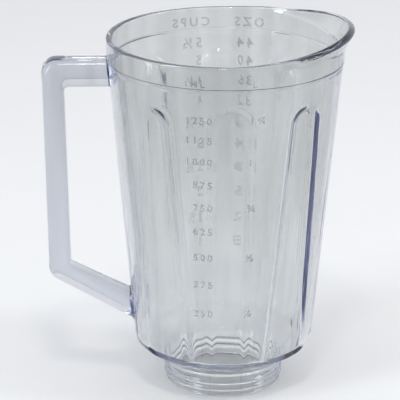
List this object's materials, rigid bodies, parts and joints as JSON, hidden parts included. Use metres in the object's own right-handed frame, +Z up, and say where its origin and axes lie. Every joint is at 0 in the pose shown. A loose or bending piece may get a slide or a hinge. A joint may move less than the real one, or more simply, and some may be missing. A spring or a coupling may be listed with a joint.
{
  "type": "blender_jar",
  "caption": "Clear plastic blender jar with a loop handle, pouring lip, arched flutes and a round collar for a blade base",
  "frame": {"origin": "On the jar's axis, at the foot of the collar, the lowest plane of the jar", "axes": "+Z up along the axis to the rim, +X to the pouring lip, -X to the handle, -Y to the side with the millilitre scale"},
  "size_m": [0.1712, 0.1304, 0.2069],
  "materials": {
    "clear_plastic": "gloss"
  },
  "bodies": {
    "root": {"jar": "clear_plastic"}
  },
  "joints": []
}
